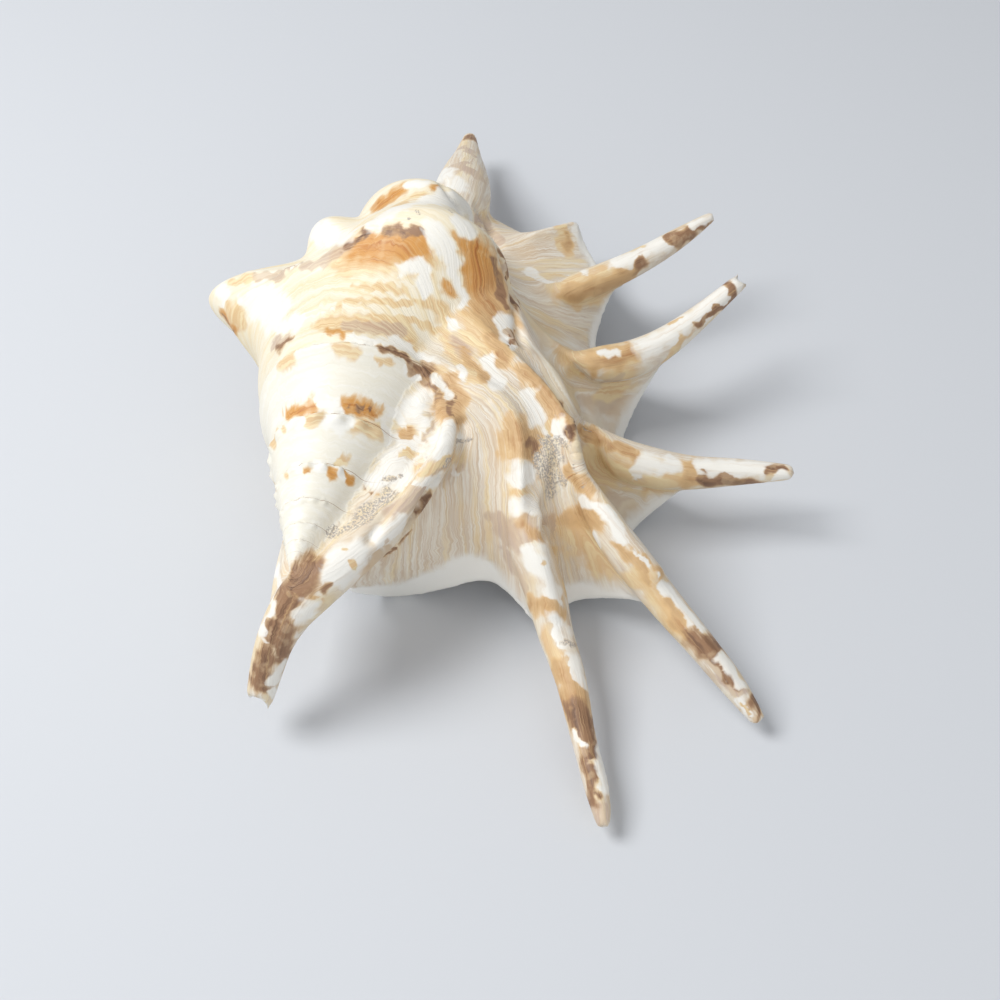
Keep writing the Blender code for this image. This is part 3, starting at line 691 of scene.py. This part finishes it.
# Its markings.
# The outer layer is white to cream, with golden, brown and mauve patches that run along the
# growth. Each is a stroke between two points of the photo, laid on the shell that is seen
# there, with a width in millimetres. Later strokes cover earlier ones. Some thin brown, mauve
# and grey strokes are painted shade: on the shoulder's far side, along the step down to the
# lip, on the fold's crest, in the rib's grooves and on the spire's lower right.
MARKS = (
    # The horn and the ridge that runs from it
    ("white", 244, 298, 284, 316, 7.5), ("white", 219, 291, 226, 303, 4.5),
    ("white", 270, 326, 300, 326, 4.0), ("gold", 226, 308, 243, 322, 4.5),
    ("orange", 222, 312, 237, 333, 2.6), ("gold", 231, 281, 256, 277, 1.6),
    # The mauve and brown strokes along the shoulder, from here to the hump, are painted shade on the crest's
    # far side
    ("brown", 222, 314, 234, 331, 0.9), ("mauve", 256, 278, 284, 273, 1.6),
    ("mauve", 280, 273, 314, 266, 1.8), ("mauve", 308, 267, 342, 252, 2.0),
    ("brown", 340, 252, 360, 238, 1.2), ("brown", 361, 234, 369, 227, 1.4),
    ("mauve", 322, 258, 350, 242, 2.6), ("white", 290, 268, 300, 266, 0.6),
    ("mauve", 272, 345, 288, 338, 3.4), ("brown", 275, 350, 288, 341, 2.0),
    ("gold", 279, 367, 293, 358, 2.6),
    # The back of the last turn
    ("gold", 336, 262, 432, 262, 5.5), ("orange", 352, 251, 428, 249, 5.5),
    ("brown", 383, 231, 424, 234, 1.7), ("orange", 364, 240, 384, 238, 3.0),
    ("gold", 340, 300, 440, 306, 1.2), ("gold", 360, 314, 450, 330, 1.2),
    ("gold", 352, 287, 410, 290, 1.0), ("gold", 425, 300, 450, 320, 3.0),
    ("orange", 458, 236, 470, 262, 3.0), ("orange", 467, 246, 492, 292, 8.0),
    ("orange", 478, 280, 506, 330, 7.5), ("gold", 470, 318, 500, 352, 6.5),
    ("orange", 490, 330, 507, 366, 2.6), ("brown", 494, 256, 508, 306, 1.7),
    ("orange", 443, 283, 452, 293, 1.8), ("white", 397, 269, 428, 267, 2.6),
    ("white", 420, 272, 428, 294, 2.2), ("white", 428, 226, 450, 250, 3.8),
    ("white", 449, 250, 458, 280, 2.4), ("white", 459, 280, 463, 310, 1.6),
    ("white", 448, 318, 455, 328, 1.4), ("orange", 461, 240, 464, 270, 0.9),
    # The thin mauve and brown strokes along the step from the last turn down to the lip are a painted shadow
    # line under the step's edge
    ("mauve", 482, 218, 506, 268, 1.4), ("white", 504, 314, 513, 346, 3.4),
    ("mauve", 506, 330, 514, 344, 1.6), ("brown", 508, 335, 510, 347, 0.5),
    ("brown", 499, 250, 509, 277, 0.9), ("mauve", 483, 212, 499, 250, 1.0),
    ("brown", 510, 280, 517, 314, 0.9), ("brown", 511, 333, 513, 347, 0.5),
    ("brown", 514, 326, 517, 346, 0.6), ("brown", 507, 276, 515, 312, 0.7),
    ("orange", 462, 346, 492, 384, 1.4), ("gold", 446, 336, 478, 380, 3.0),
    ("white", 489, 354, 500, 390, 2.2), ("white", 458, 364, 466, 378, 1.6),
    ("mauve", 452, 336, 470, 356, 2.4),
    # The turn beside the last suture
    ("gold", 322, 322, 402, 330, 4.2), ("mauve", 344, 324, 402, 333, 2.6),
    ("orange", 324, 330, 352, 334, 1.8), ("gold", 402, 332, 440, 372, 3.4),
    ("orange", 410, 344, 442, 384, 1.6), ("white", 346, 335, 386, 344, 2.0),
    ("white", 390, 342, 436, 358, 2.8), ("brown", 378, 346, 424, 371, 1.6),
    ("brown", 421, 362, 444, 398, 3.6), ("orange", 436, 388, 452, 420, 3.8),
    ("orange", 452, 372, 460, 418, 2.4), ("brown", 446, 388, 455, 420, 1.0),
    ("white", 438, 373, 446, 400, 1.7), ("white", 406, 370, 424, 378, 0.9),
    ("white", 446, 424, 440, 456, 4.6), ("gold", 455, 456, 424, 474, 3.2),
    ("mauve", 452, 462, 432, 476, 1.6), ("white", 440, 480, 404, 492, 3.4),
    ("mauve", 424, 498, 390, 516, 4.0), ("brown", 432, 494, 414, 510, 1.6),
    ("white", 404, 522, 378, 544, 3.2), ("mauve", 388, 545, 376, 556, 2.4),
    # The thin brown and grey lines here follow the rib's grooves: painted shadow lines
    ("brown", 408, 533, 380, 560, 0.6), ("grey", 460, 438, 444, 470, 0.9),
    # The spire
    ("gold", 334, 349, 359, 349, 2.2), ("gold", 378, 360, 394, 364, 1.4),
    ("orange", 285, 414, 318, 404, 1.8), ("orange", 344, 404, 378, 411, 2.6),
    ("brown", 348, 405, 376, 410, 0.8), ("white", 322, 405, 342, 406, 2.2),
    ("gold", 305, 419, 322, 417, 1.8), ("gold", 353, 424, 380, 432, 2.8),
    ("orange", 404, 427, 415, 436, 2.6), ("gold", 399, 448, 411, 458, 3.4),
    ("white", 326, 421, 350, 424, 2.6), ("white", 383, 424, 394, 440, 2.6),
    ("white", 386, 412, 402, 420, 1.8), ("gold", 276, 430, 273, 446, 1.8),
    ("gold", 283, 427, 287, 430, 1.2), ("white", 290, 424, 302, 422, 2.0),
    ("orange", 301, 469, 306, 471, 1.1), ("orange", 326, 472, 334, 473, 1.4),
    ("orange", 346, 476, 356, 483, 1.2), ("brown", 363, 485, 368, 498, 0.6),
    ("orange", 374, 488, 373, 500, 0.7), ("gold", 282, 476, 286, 477, 1.1),
    ("gold", 336, 464, 350, 462, 1.4), ("gold", 274, 487, 276, 489, 0.9),
    ("white", 292, 471, 298, 470, 1.5), ("white", 311, 468, 322, 468, 2.0),
    ("white", 338, 474, 344, 476, 1.4), ("white", 418, 396, 420, 444, 5.0),
    ("white", 414, 436, 392, 476, 5.2), ("white", 396, 464, 372, 488, 4.6),
    ("gold", 403, 449, 411, 457, 2.0), ("orange", 406, 427, 415, 437, 2.2),
    # A painted shadow line in the rib's groove, then grey painted shade on the spire's lower right
    ("mauve", 430, 414, 428, 442, 0.9), ("grey", 390, 494, 352, 530, 2.6),
    ("grey", 384, 482, 396, 476, 1.0), ("grey", 330, 536, 352, 528, 1.4),
    # The knobs behind, and the canal
    ("white", 308, 226, 350, 236, 5.0), ("orange", 376, 208, 402, 191, 3.6),
    ("gold", 396, 206, 424, 195, 3.4), ("orange", 437, 187, 449, 200, 2.4),
    ("white", 404, 186, 430, 184, 2.2), ("mauve", 452, 178, 466, 162, 2.2),
    ("mauve", 448, 168, 480, 180, 3.2), ("brown", 468, 136, 475, 141, 3.6),
    ("mauve", 462, 146, 474, 156, 2.2), ("white", 440, 176, 462, 188, 4.0),
    ("white", 376, 222, 470, 209, 4.2), ("white", 452, 220, 474, 232, 3.4),
    ("grey", 414, 212, 418, 216, 0.8), ("grey", 450, 210, 452, 214, 0.7),
    # The mauve stroke at the end of this line is a painted shadow line along the top of the step down to the
    # lip
    ("grey", 410, 219, 412, 221, 0.7), ("mauve", 484, 214, 502, 244, 1.6),
    ("gold", 490, 214, 496, 224, 1.2),
    # The front of the lip, with its broken corner and the first finger
    ("gold", 560, 226, 570, 256, 3.4), ("orange", 568, 230, 568, 250, 2.0),
    ("white", 576, 222, 586, 254, 2.4), ("white", 526, 268, 548, 282, 2.4),
    ("gold", 560, 288, 618, 284, 7.5), ("orange", 566, 296, 632, 278, 3.4),
    ("gold", 566, 300, 604, 300, 2.6), ("white", 569, 275, 588, 273, 1.8),
    ("white", 612, 266, 648, 252, 3.0), ("orange", 620, 276, 636, 270, 2.2),
    ("brown", 636, 270, 645, 261, 2.8), ("white", 646, 249, 670, 238, 4.6),
    ("gold", 633, 250, 641, 247, 0.9), ("brown", 670, 242, 692, 231, 3.6),
    ("brown", 690, 232, 712, 219, 1.6), ("white", 690, 226, 712, 216, 1.6),
    ("gold", 680, 232, 686, 226, 1.2),
    # The second finger
    ("gold", 562, 350, 634, 366, 6.5), ("orange", 590, 364, 636, 353, 4.0),
    ("white", 602, 352, 622, 352, 1.8), ("white", 639, 350, 676, 333, 5.0),
    ("gold", 664, 362, 688, 328, 2.0), ("brown", 688, 330, 702, 318, 1.8),
    ("white", 677, 327, 728, 290, 4.0), ("gold", 670, 324, 683, 316, 0.9),
    ("brown", 697, 323, 738, 296, 1.4), ("brown", 726, 282, 733, 298, 2.0),
    ("white", 735, 281, 741, 290, 2.6), ("gold", 596, 398, 622, 388, 3.0),
    ("mauve", 602, 382, 620, 376, 2.2),
    # The third finger
    ("gold", 588, 462, 644, 484, 8.0), ("orange", 580, 428, 612, 448, 2.0),
    ("orange", 606, 444, 642, 459, 1.8), ("gold", 646, 480, 702, 478, 4.2),
    ("white", 640, 463, 678, 464, 3.6), ("white", 638, 464, 640, 478, 1.6),
    ("orange", 689, 462, 690, 484, 3.2), ("white", 698, 466, 766, 468, 3.6),
    ("brown", 698, 481, 768, 483, 2.2), ("brown", 768, 469, 789, 474, 1.6),
    ("white", 772, 479, 792, 475, 1.2), ("gold", 640, 492, 676, 492, 1.4),
    # The fourth finger
    ("gold", 576, 520, 610, 572, 8.5), ("orange", 566, 468, 589, 496, 2.4),
    ("orange", 572, 516, 600, 515, 4.6), ("orange", 618, 545, 658, 579, 2.4),
    ("white", 580, 503, 604, 508, 2.0), ("white", 600, 507, 626, 541, 2.0),
    ("white", 630, 550, 659, 580, 0.7), ("white", 594, 532, 602, 548, 1.8),
    ("gold", 606, 566, 652, 578, 4.0), ("gold", 654, 586, 684, 630, 4.6),
    ("orange", 664, 596, 690, 634, 2.4), ("white", 664, 583, 704, 630, 2.4),
    ("brown", 690, 634, 718, 652, 4.0), ("mauve", 714, 662, 740, 696, 2.6),
    ("brown", 716, 660, 738, 690, 1.4), ("white", 720, 656, 743, 684, 2.2),
    ("white", 738, 699, 752, 717, 1.8), ("brown", 750, 696, 761, 719, 1.8),
    ("gold", 744, 706, 750, 714, 0.8),
    # The fifth finger, with the shoulder of the lip above it
    ("orange", 524, 370, 550, 402, 4.0), ("orange", 546, 392, 567, 424, 5.0),
    # The first brown stroke here is painted shade where the fold's crest drops to the valley on its right
    ("brown", 564, 400, 570, 438, 1.8), ("orange", 520, 426, 542, 468, 6.0),
    ("brown", 528, 436, 538, 462, 1.8), ("white", 527, 392, 539, 424, 3.0),
    ("white", 552, 418, 562, 446, 3.0), ("gold", 548, 412, 552, 440, 0.8),
    ("grey", 540, 446, 560, 446, 3.0), ("grey", 546, 456, 552, 490, 4.4),
    ("white", 513, 474, 531, 475, 4.2), ("gold", 514, 492, 530, 494, 2.2),
    ("white", 508, 511, 538, 510, 3.6), ("mauve", 498, 530, 536, 538, 6.0),
    ("orange", 520, 524, 538, 540, 2.4), ("mauve", 506, 552, 524, 592, 4.0),
    ("gold", 558, 548, 564, 592, 2.0), ("white", 531, 544, 541, 572, 4.2),
    ("white", 544, 570, 557, 596, 2.8), ("gold", 542, 565, 545, 567, 1.1),
    ("orange", 530, 603, 561, 609, 3.4), ("white", 558, 602, 562, 606, 0.9),
    ("white", 549, 620, 564, 644, 3.6), ("gold", 543, 626, 556, 668, 3.2),
    ("grey", 564, 641, 578, 648, 0.9), ("white", 568, 655, 582, 698, 3.6),
    ("orange", 556, 662, 570, 690, 2.8), ("orange", 565, 694, 586, 712, 5.0),
    ("brown", 572, 706, 590, 726, 4.4), ("brown", 587, 722, 594, 772, 3.4),
    ("white", 599, 750, 603, 796, 3.0), ("brown", 587, 764, 595, 806, 2.2),
    ("brown", 598, 794, 604, 799, 1.2), ("mauve", 594, 806, 607, 820, 4.0),
    ("white", 576, 728, 580, 746, 1.2),
    # The finger under the spire, and the rib that leads to it
    ("gold", 322, 562, 290, 590, 4.0), ("brown", 320, 564, 284, 600, 5.0),
    ("brown", 288, 592, 286, 616, 4.6), ("orange", 311, 592, 320, 604, 1.2),
    ("white", 362, 549, 330, 580, 5.0), ("gold", 350, 563, 356, 566, 1.6),
    ("gold", 343, 551, 347, 551, 0.9), ("brown", 334, 585, 326, 592, 1.4),
    ("white", 314, 602, 297, 623, 3.2), ("white", 273, 606, 262, 638, 2.0),
    ("brown", 286, 622, 276, 657, 4.8), ("white", 262, 642, 276, 656, 0.7),
    ("brown", 267, 650, 260, 692, 3.6), ("white", 281, 663, 276, 684, 2.0),
    ("white", 251, 697, 258, 700, 1.4), ("white", 271, 690, 273, 698, 1.4),
    ("white", 277, 566, 272, 600, 2.0),
)
CHANNELS = ("gold", "mauve", "orange", "brown", "white", "grey")
HIDDEN_MARKS = 150
TOP_MARK = 4
# Size, rate, order of the axes and shift of each wave that moves the strokes' edges about
WOBBLES = ((0.45, 1.3, (1, 2, 0), (0, 2, 4)), (0.30, 2.7, (2, 0, 1), (1, 3, 5)))
SOFTENING_ROUNDS = 22
MOUTH_MIDDLE = (-12, 30)


def paint(first, last, width, kind, allowed=1.0):
    """Adds a stroke to the fields of marks: about 1 inside it, 0.5 at its edge, 0 outside."""
    channel = CHANNELS.index(kind)
    middle = (first + last) / 2
    length = np.linalg.norm(last - first)
    way = (last - first) / max(length, 1e-6)
    facing = unit(normals[nearest(middle)] + normals[nearest(first)] + normals[nearest(last)])
    across = unit(np.cross(facing, way))
    away = wobbled - middle
    past_end = np.maximum(np.abs(away @ way) - max(length - 0.6 * width, 0) / 2, 0)
    beside = np.abs(away @ across)
    reach = np.hypot(past_end, beside) / (width / 2)
    same_side = smooth_step(normals @ facing, 0.0, 0.25) * (np.abs(away @ facing) < 4 + length / 3)
    field = np.clip(1 - 0.5 * reach ** 1.5, 0, 1) * same_side * allowed
    if channel >= TOP_MARK:
        marks[:, :channel] *= (1 - smooth_step(field, 0.42, 0.62))[:, None]
    else:
        marks[:, TOP_MARK:] *= (1 - smooth_step(field, 0.42, 0.62))[:, None]
    marks[:, channel] = np.maximum(marks[:, channel], field)


def nearest(place_mm):
    return skin_tree.find(place_mm)[1]


points, normals, skin = skin_now()
near, gap = nearest_samples(points, 4)
wobbled = points.copy()
for size, rate, order, shift in WOBBLES:
    wobbled += size * np.sin(rate * points[:, order] + shift)
skin_tree = KDTree(len(points))
for i, point in enumerate(points):
    skin_tree.insert(point, i)
skin_tree.balance()
ends = np.array([tuple(edge.vertices) for edge in shell.data.edges])
touching = np.bincount(ends.ravel(), minlength=len(points))[:, None]
for _ in range(SOFTENING_ROUNDS):
    total = np.zeros_like(near)
    for here, there in (ends.T, ends[:, ::-1].T):
        for column in range(3, 15):
            total[:, column] += np.bincount(here, near[there, column], len(points))
    near[:, 3:] = 0.5 * near[:, 3:] + 0.5 * total[:, 3:] / touching
t, psi, _ = about_axis(points)
flow_way, outward, lip_share = unit(near[:, 3:6]), unit(near[:, 6:9]), near[:, 11]
facing_out = (normals * outward).sum(axis=1)
inside = smooth_step(-facing_out, -0.35, 0.05)
glaze = np.maximum(inside, smooth_step(np.maximum(near[:, 13], near[:, 14]), 0.3, 0.7))
# Walls that the mouth's cut and the fingers' channels leave, away from every grown surface
glaze = np.maximum(glaze, smooth_step(gap, 1.3, 2.0))
across_mouth = np.abs(points[:, 0] - MOUTH_MIDDLE[0])
along_mouth = np.abs(points[:, 1] - MOUTH_MIDDLE[1])
depth = inside * smooth_step(-across_mouth, -20, -5) * smooth_step(40 - along_mouth, 0, 20)

marks = np.zeros((len(points), len(CHANNELS)))
chance = np.random.default_rng(7)
turned_away = smooth_step(-(normals @ toward_camera), 0.05, 0.25)
out_of_sight = np.flatnonzero(
    (turned_away == 1) & (glaze < 0.2) & (points[:, 2] > 1) & ((t > 38) | (lip_share > 0.5))
)
for i in chance.choice(out_of_sight, HIDDEN_MARKS):
    kind = chance.choice(("gold", "orange", "brown", "white", "mauve"), p=(0.25, 0.2, 0.2, 0.25, 0.1))
    half_way = flow_way[i] * chance.uniform(2, 7)
    paint(points[i] - half_way, points[i] + half_way, chance.uniform(1.5, 5), kind, turned_away)
for kind, x0, y0, x1, y1, width in MARKS:
    paint(seen_at(x0, y0), seen_at(x1, y1), width, kind)


def keep_on_points(name, columns):
    """Stores three numbers with each point of the mesh, for the material."""
    kept = shell.data.attributes.new(name, "FLOAT_VECTOR", "POINT")
    kept.data.foreach_set("vector", np.stack(columns, axis=1).astype(np.float32).ravel())


keep_on_points("tints", (marks[:, 0], marks[:, 1], marks[:, 5]))
keep_on_points("pigments", (marks[:, 2], marks[:, 3], marks[:, 4]))
keep_on_points("growth", (near[:, 9], near[:, 10], lip_share))
keep_on_points("glazes", (glaze, depth, smooth_step(-whorl_number(t, psi), 0, 0.02) * (lip_share < 0.3)))

# Its skin.
# Chalky white under thin coloured layers, with fine lines along the growth and across it; the
# mouth side and the margin have a smooth glaze that turns apricot deep in the mouth.


class Wire:
    """A value in the material's nodes; sums and products of wires add Math nodes."""

    tree = None

    def __init__(self, socket):
        self.socket = socket

    @classmethod
    def node(cls, kind, settings=None, inputs=None, output=0):
        made = cls.tree.nodes.new(kind)
        for name, value in (settings or {}).items():
            setattr(made, name, value)
        for name, value in (inputs or {}).items():
            if isinstance(value, cls):
                cls.tree.links.new(value.socket, made.inputs[name])
            else:
                made.inputs[name].default_value = value
        return cls(made.outputs[output])

    def math(self, operation, other, turned=False):
        first, second = (other, self) if turned else (self, other)
        return self.node("ShaderNodeMath", {"operation": operation}, {0: first, 1: second})

    def __add__(self, other):
        return self.math("ADD", other)

    def __radd__(self, other):
        return self.math("ADD", other, True)

    def __sub__(self, other):
        return self.math("SUBTRACT", other)

    def __rsub__(self, other):
        return self.math("SUBTRACT", other, True)

    def __mul__(self, other):
        return self.math("MULTIPLY", other)

    def __rmul__(self, other):
        return self.math("MULTIPLY", other, True)

    def ramp(self, low, high):
        """0 below low, 1 above high, smooth between them."""
        settings = {"interpolation_type": "SMOOTHSTEP"}
        return self.node("ShaderNodeMapRange", settings, {0: self, 1: low, 2: high})


def paint_colour(red, green, blue):
    """A colour as read off a screen, 0 to 255, in the renderer's linear values."""
    shares = np.array((red, green, blue)) / 255
    linear = np.where(shares < 0.04045, shares / 12.92, ((shares + 0.055) / 1.055) ** 2.4)
    return (*linear.tolist(), 1)


def blend(share, first, second):
    return Wire.node("ShaderNodeMix", {"data_type": "RGBA"}, {0: share, 6: first, 7: second}, 2)


def kept_values(name):
    vector = Wire.node("ShaderNodeAttribute", {"attribute_name": name}, output="Vector")
    parts = Wire.node("ShaderNodeSeparateXYZ", inputs={0: vector})
    return [Wire(parts.socket.node.outputs[i]) for i in range(3)]


def lines(along, across, seed, detail=3.0):
    """Noise drawn out along the growth: high values make streaks."""
    where = Wire.node("ShaderNodeCombineXYZ", inputs={0: along, 1: across, 2: seed})
    settings = {"Vector": where, "Scale": 1.0, "Detail": detail, "Roughness": 0.6}
    return Wire.node("ShaderNodeTexNoise", inputs=settings)


WHITE = paint_colour(242, 240, 233)
CREAM = paint_colour(240, 231, 208)
STRAW = paint_colour(235, 214, 168)
BONE = paint_colour(235, 232, 220)
BEIGE = paint_colour(209, 188, 162)
MILKY = paint_colour(234, 227, 212)
GOLD = paint_colour(219, 182, 130)
ORANGE = paint_colour(208, 150, 78)
RUST = paint_colour(178, 110, 50)
TAN = paint_colour(204, 168, 122)
COCOA = paint_colour(176, 128, 82)
BROWN = paint_colour(152, 116, 86)
DARK_BROWN = paint_colour(106, 76, 56)
MAUVE = paint_colour(186, 158, 140)
ASH = paint_colour(172, 165, 158)
APRICOT = paint_colour(226, 158, 112)

skin_paint = bpy.data.materials.new("conch_skin")
skin_paint.use_nodes = True
Wire.tree = skin_paint.node_tree
shader = Wire.tree.nodes["Principled BSDF"]

gold, mauve, grit_and_shade = kept_values("tints")
orange, brown, white = kept_values("pigments")
along, across, on_lip = kept_values("growth")
glazed, deep, on_spire = kept_values("glazes")
fine = lines(along * 0.07, across * 1.5, 1.0)
broad = lines(along * 0.04, across * 0.55, 5.0)
hair = lines(along * 0.10, across * 3.6, 9.0, 2.0)
object_place = Wire.node("ShaderNodeTexCoord", output="Object")
cloudy = Wire.node("ShaderNodeTexNoise", inputs={"Vector": object_place, "Scale": 90.0, "Detail": 4.0})
mottled = Wire.node("ShaderNodeTexNoise", inputs={"Vector": object_place, "Scale": 380.0, "Detail": 4.0})
speckle = Wire.node("ShaderNodeTexNoise", inputs={"Vector": object_place, "Scale": 2600.0, "Detail": 2.0})
away_from_apex = Wire.node("ShaderNodeVectorMath", {"operation": "SUBTRACT"}, {
    0: object_place, 1: tuple(MM * (APEX - MIDDLE)),
})


def along_line(direction):
    return Wire.node("ShaderNodeVectorMath", {"operation": "DOT_PRODUCT"}, {
        0: away_from_apex, 1: tuple(direction),
    }, "Value")


turned = along_line(OUT_OF_BACK).math("ARCTAN2", along_line(ACROSS))
turned = turned + 2 * math.pi * turned.math("LESS_THAN", radians(STRIP_START))
whorls_down = (along_line(AXIS) * (1 / MM / LAST_SUTURE)).math("LOGARITHM", GROWTH)
whorls_down = whorls_down + (turned - BACK) * (1 / (2 * math.pi)) + (cloudy - 0.5) * 0.012
off_suture = (whorls_down.math("FRACT", 0.0) - 0.5).math("ABSOLUTE", 0.0)
suture = off_suture.ramp(0.488, 0.496) * whorls_down.math("LESS_THAN", 0.3)
ragged = (fine - 0.5) * 0.8 + (mottled - 0.5) * 1.0 + (cloudy - 0.5) * 0.5
flecks = mottled.ramp(0.54, 0.66)


def mark(field, edge=0.5, width=0.10):
    return (field + ragged * field.ramp(0.05, 0.35)).ramp(edge - width, edge + width)


back = blend(broad.ramp(0.40, 0.68) * 0.7, CREAM, STRAW)
back = blend(fine.ramp(0.48, 0.70) * 0.5, back, WHITE)
back = blend(hair.ramp(0.58, 0.72) * 0.25, back, BEIGE)
lip_base = blend(fine.ramp(0.32, 0.68) * 0.9, MILKY, BEIGE)
lip_base = blend(broad.ramp(0.46, 0.66) * 0.65, lip_base, STRAW)
lip_base = blend(hair.ramp(0.54, 0.72) * 0.38, lip_base, MAUVE)
lip_base = blend(cloudy.ramp(0.48, 0.72) * 0.28, lip_base, GOLD)
lip_base = blend((1 - hair.ramp(0.34, 0.48)) * 0.45, lip_base, WHITE)
base = blend(on_lip, back, lip_base)
base = blend(on_spire * 0.8, base, blend(fine.ramp(0.4, 0.65) * 0.6, BONE, WHITE))
tan_streaks = blend(fine.ramp(0.40, 0.62), GOLD, STRAW)
base = blend(mark(gold, 0.42, 0.32) * 0.85, base, tan_streaks)
base = blend(mark(orange, 0.28, 0.26) * 0.8, base, GOLD)
# Brown strokes: the shell's brown patches, and also thin painted shadow lines along the step to the lip, the
# fold's crest and the rib
base = blend(mark(brown, 0.28, 0.24) * 0.7, base, TAN)
# Mauve strokes: the shell's mauve tint, and painted shade on the shoulder's far side, along the step to the
# lip and in the rib's groove
base = blend(mark(mauve, 0.45, 0.25) * 0.7, base, blend(fine.ramp(0.4, 0.6), MAUVE, BEIGE))
rusty_share = (orange * 0.5 + (fine - 0.5) * 1.6 + (broad - 0.5) * 1.2).ramp(0.35, 0.85)
rusty = blend(rusty_share, blend(on_lip, ORANGE, TAN), blend(on_lip, RUST, COCOA))
rusty = blend(hair.ramp(0.52, 0.68) * 0.45, rusty, GOLD)
base = blend(mark(orange, 0.58, 0.26) * (1 - flecks * 0.35), base, rusty)
earthy = blend((brown * 0.5 + (fine - 0.5) * 1.6 + (broad - 0.5) * 1.2).ramp(0.35, 0.85), BROWN, DARK_BROWN)
earthy = blend(hair.ramp(0.54, 0.70) * 0.4, earthy, GOLD)
base = blend(mark(brown, 0.54, 0.22) * (1 - flecks * 0.4), base, earthy)
base = blend(mark(white, 0.50, 0.28) * (0.90 - fine.ramp(0.50, 0.72) * 0.35), base, WHITE)
# Grey ash strokes are partly grit and partly painted shade, on the spire's lower right and in the rib's
# groove
base = blend(mark(grit_and_shade, 0.45, 0.3) * speckle.ramp(0.40, 0.60) * 0.9, base, ASH)
enamel = blend(deep, WHITE, APRICOT)
base = blend(glazed, base, enamel)
base = blend(suture * (1 - glazed) * (1 - on_lip) * 0.8, base, BROWN)
Wire.tree.links.new(base.socket, shader.inputs["Base Color"])
dull = 0.42 + cloudy * 0.15 + mark(grit_and_shade) * 0.3 - glazed * 0.16
Wire.tree.links.new(dull.socket, shader.inputs["Roughness"])
shader.inputs["Specular IOR Level"].default_value = 0.5
relief = (fine * 0.5 + hair * 0.35 + broad * 0.9 + mottled * 0.3) * (1 - glazed * 0.85) * (1 - on_spire * 0.5)
relief = relief + speckle * mark(grit_and_shade)
bump = Wire.node("ShaderNodeBump", inputs={"Height": relief, "Strength": 0.5, "Distance": 0.0005})
Wire.tree.links.new(bump.socket, shader.inputs["Normal"])
shell.data.materials.clear()
shell.data.materials.append(skin_paint)

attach(shell, "root")
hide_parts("shell")

# The surface under it.
# A plain pale sheet, wide enough to fill the view.
bpy.ops.mesh.primitive_plane_add(size=3, location=(0, 0, 0))
floor = bpy.context.object
floor.name = "floor"
paper = bpy.data.materials.new("pale_paper")
paper.use_nodes = True
paper.node_tree.nodes["Principled BSDF"].inputs["Base Color"].default_value = (0.62, 0.64, 0.67, 1)
paper.node_tree.nodes["Principled BSDF"].inputs["Roughness"].default_value = 0.85
floor.data.materials.append(paper)

# The light.
# One soft lamp high on the left, a weak fill on the camera's side, and a pale room.
world = bpy.data.worlds.new("room")
world.use_nodes = True
world.node_tree.nodes["Background"].inputs["Color"].default_value = (0.95, 0.97, 1.0, 1)
world.node_tree.nodes["Background"].inputs["Strength"].default_value = 0.47
bpy.context.scene.world = world
for name, place_m, size, power in (
    ("key", (-0.36, -0.06, 0.56), 0.30, 3.3),
    ("fill", (0.15, -0.55, 0.35), 0.6, 0.8),
):
    bpy.ops.object.light_add(type="AREA", location=place_m)
    lamp = bpy.context.object
    lamp.name = name
    lamp.data.size = size
    lamp.data.energy = power
    lamp.rotation_euler = Vector(place_m).to_track_quat("Z", "Y").to_euler()
bpy.context.scene.view_settings.view_transform = "Standard"
